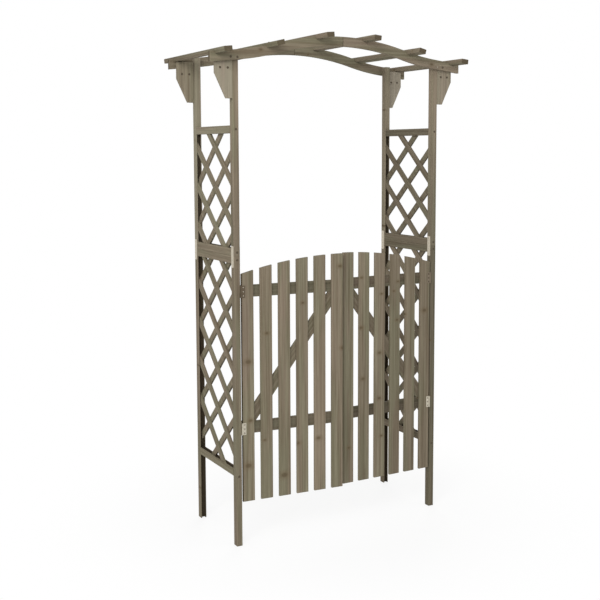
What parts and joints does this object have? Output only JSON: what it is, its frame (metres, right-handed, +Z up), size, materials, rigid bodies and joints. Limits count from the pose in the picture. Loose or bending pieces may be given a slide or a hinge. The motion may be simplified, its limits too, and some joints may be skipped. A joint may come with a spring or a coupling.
{
  "type": "garden arch with gate",
  "caption": "Timber garden arch with lattice side frames, a curved slatted roof on shaped beams and a double picket gate on butt hinges.",
  "frame": {"origin": "on the ground, in the middle between the four posts", "axes": "+X to the right as seen from in front of the gate, +Y from the gate to the back, +Z up"},
  "size_m": [1.16, 0.62, 2.04],
  "materials": {
    "post_wood": "matt weathered softwood",
    "rail_wood": "matt weathered softwood",
    "lattice_wood": "matt weathered softwood",
    "beam_wood": "matt weathered softwood",
    "slat_wood": "matt weathered softwood",
    "picket_wood": "matt weathered softwood",
    "hinge_steel": "zinc plated, satin"
  },
  "bodies": {
    "arch": {"post_front_left_lower": "post_wood", "post_front_left_upper": "post_wood", "post_rear_left_lower": "post_wood", "post_rear_left_upper": "post_wood", "side_rail_left_bottom": "rail_wood", "side_rail_left_mid_lower": "rail_wood", "side_rail_left_mid_upper": "rail_wood", "side_rail_left_top": "rail_wood", "lattice_left_lower": "lattice_wood", "lattice_left_upper": "lattice_wood", "post_front_right_lower": "post_wood", "post_front_right_upper": "post_wood", "post_rear_right_lower": "post_wood", "post_rear_right_upper": "post_wood", "side_rail_right_bottom": "rail_wood", "side_rail_right_mid_lower": "rail_wood", "side_rail_right_mid_upper": "rail_wood", "side_rail_right_top": "rail_wood", "lattice_right_lower": "lattice_wood", "lattice_right_upper": "lattice_wood", "beam_front_left": "beam_wood", "bracket_front_left": "beam_wood", "beam_front_right": "beam_wood", "bracket_front_right": "beam_wood", "beam_rear_left": "beam_wood", "bracket_rear_left": "beam_wood", "beam_rear_right": "beam_wood", "bracket_rear_right": "beam_wood", "roof_slat_1": "slat_wood", "roof_slat_2": "slat_wood", "roof_slat_3": "slat_wood", "roof_slat_4": "slat_wood", "roof_slat_5": "slat_wood", "roof_slat_6": "slat_wood", "hinge_post_left_lower": "hinge_steel", "hinge_post_left_upper": "hinge_steel", "hinge_post_right_lower": "hinge_steel", "hinge_post_right_upper": "hinge_steel"},
    "left_leaf": {"picket_left_1": "picket_wood", "picket_left_2": "picket_wood", "picket_left_3": "picket_wood", "picket_left_4": "picket_wood", "picket_left_5": "picket_wood", "picket_left_6": "picket_wood", "gate_rail_left_lower": "picket_wood", "hinge_gate_left_lower": "hinge_steel", "gate_rail_left_upper": "picket_wood", "hinge_gate_left_upper": "hinge_steel", "gate_brace_left": "picket_wood"},
    "right_leaf": {"picket_right_1": "picket_wood", "picket_right_2": "picket_wood", "picket_right_3": "picket_wood", "picket_right_4": "picket_wood", "picket_right_5": "picket_wood", "picket_right_6": "picket_wood", "gate_rail_right_lower": "picket_wood", "hinge_gate_right_lower": "hinge_steel", "gate_rail_right_upper": "picket_wood", "hinge_gate_right_upper": "hinge_steel", "gate_brace_right": "picket_wood"}
  },
  "joints": [
    {"name": "left_leaf_hinge", "type": "hinge", "parent": "arch", "child": "left_leaf", "pos_m": [-0.4535, -0.2025, 0.7525], "axis": [0, 0, -1], "range_deg": [-4.2, 105.8]},
    {"name": "right_leaf_hinge", "type": "hinge", "parent": "arch", "child": "right_leaf", "pos_m": [0.4535, -0.2025, 0.7525], "axis": [0, 0, 1], "range_deg": [-1.15, 108.85]}
  ]
}
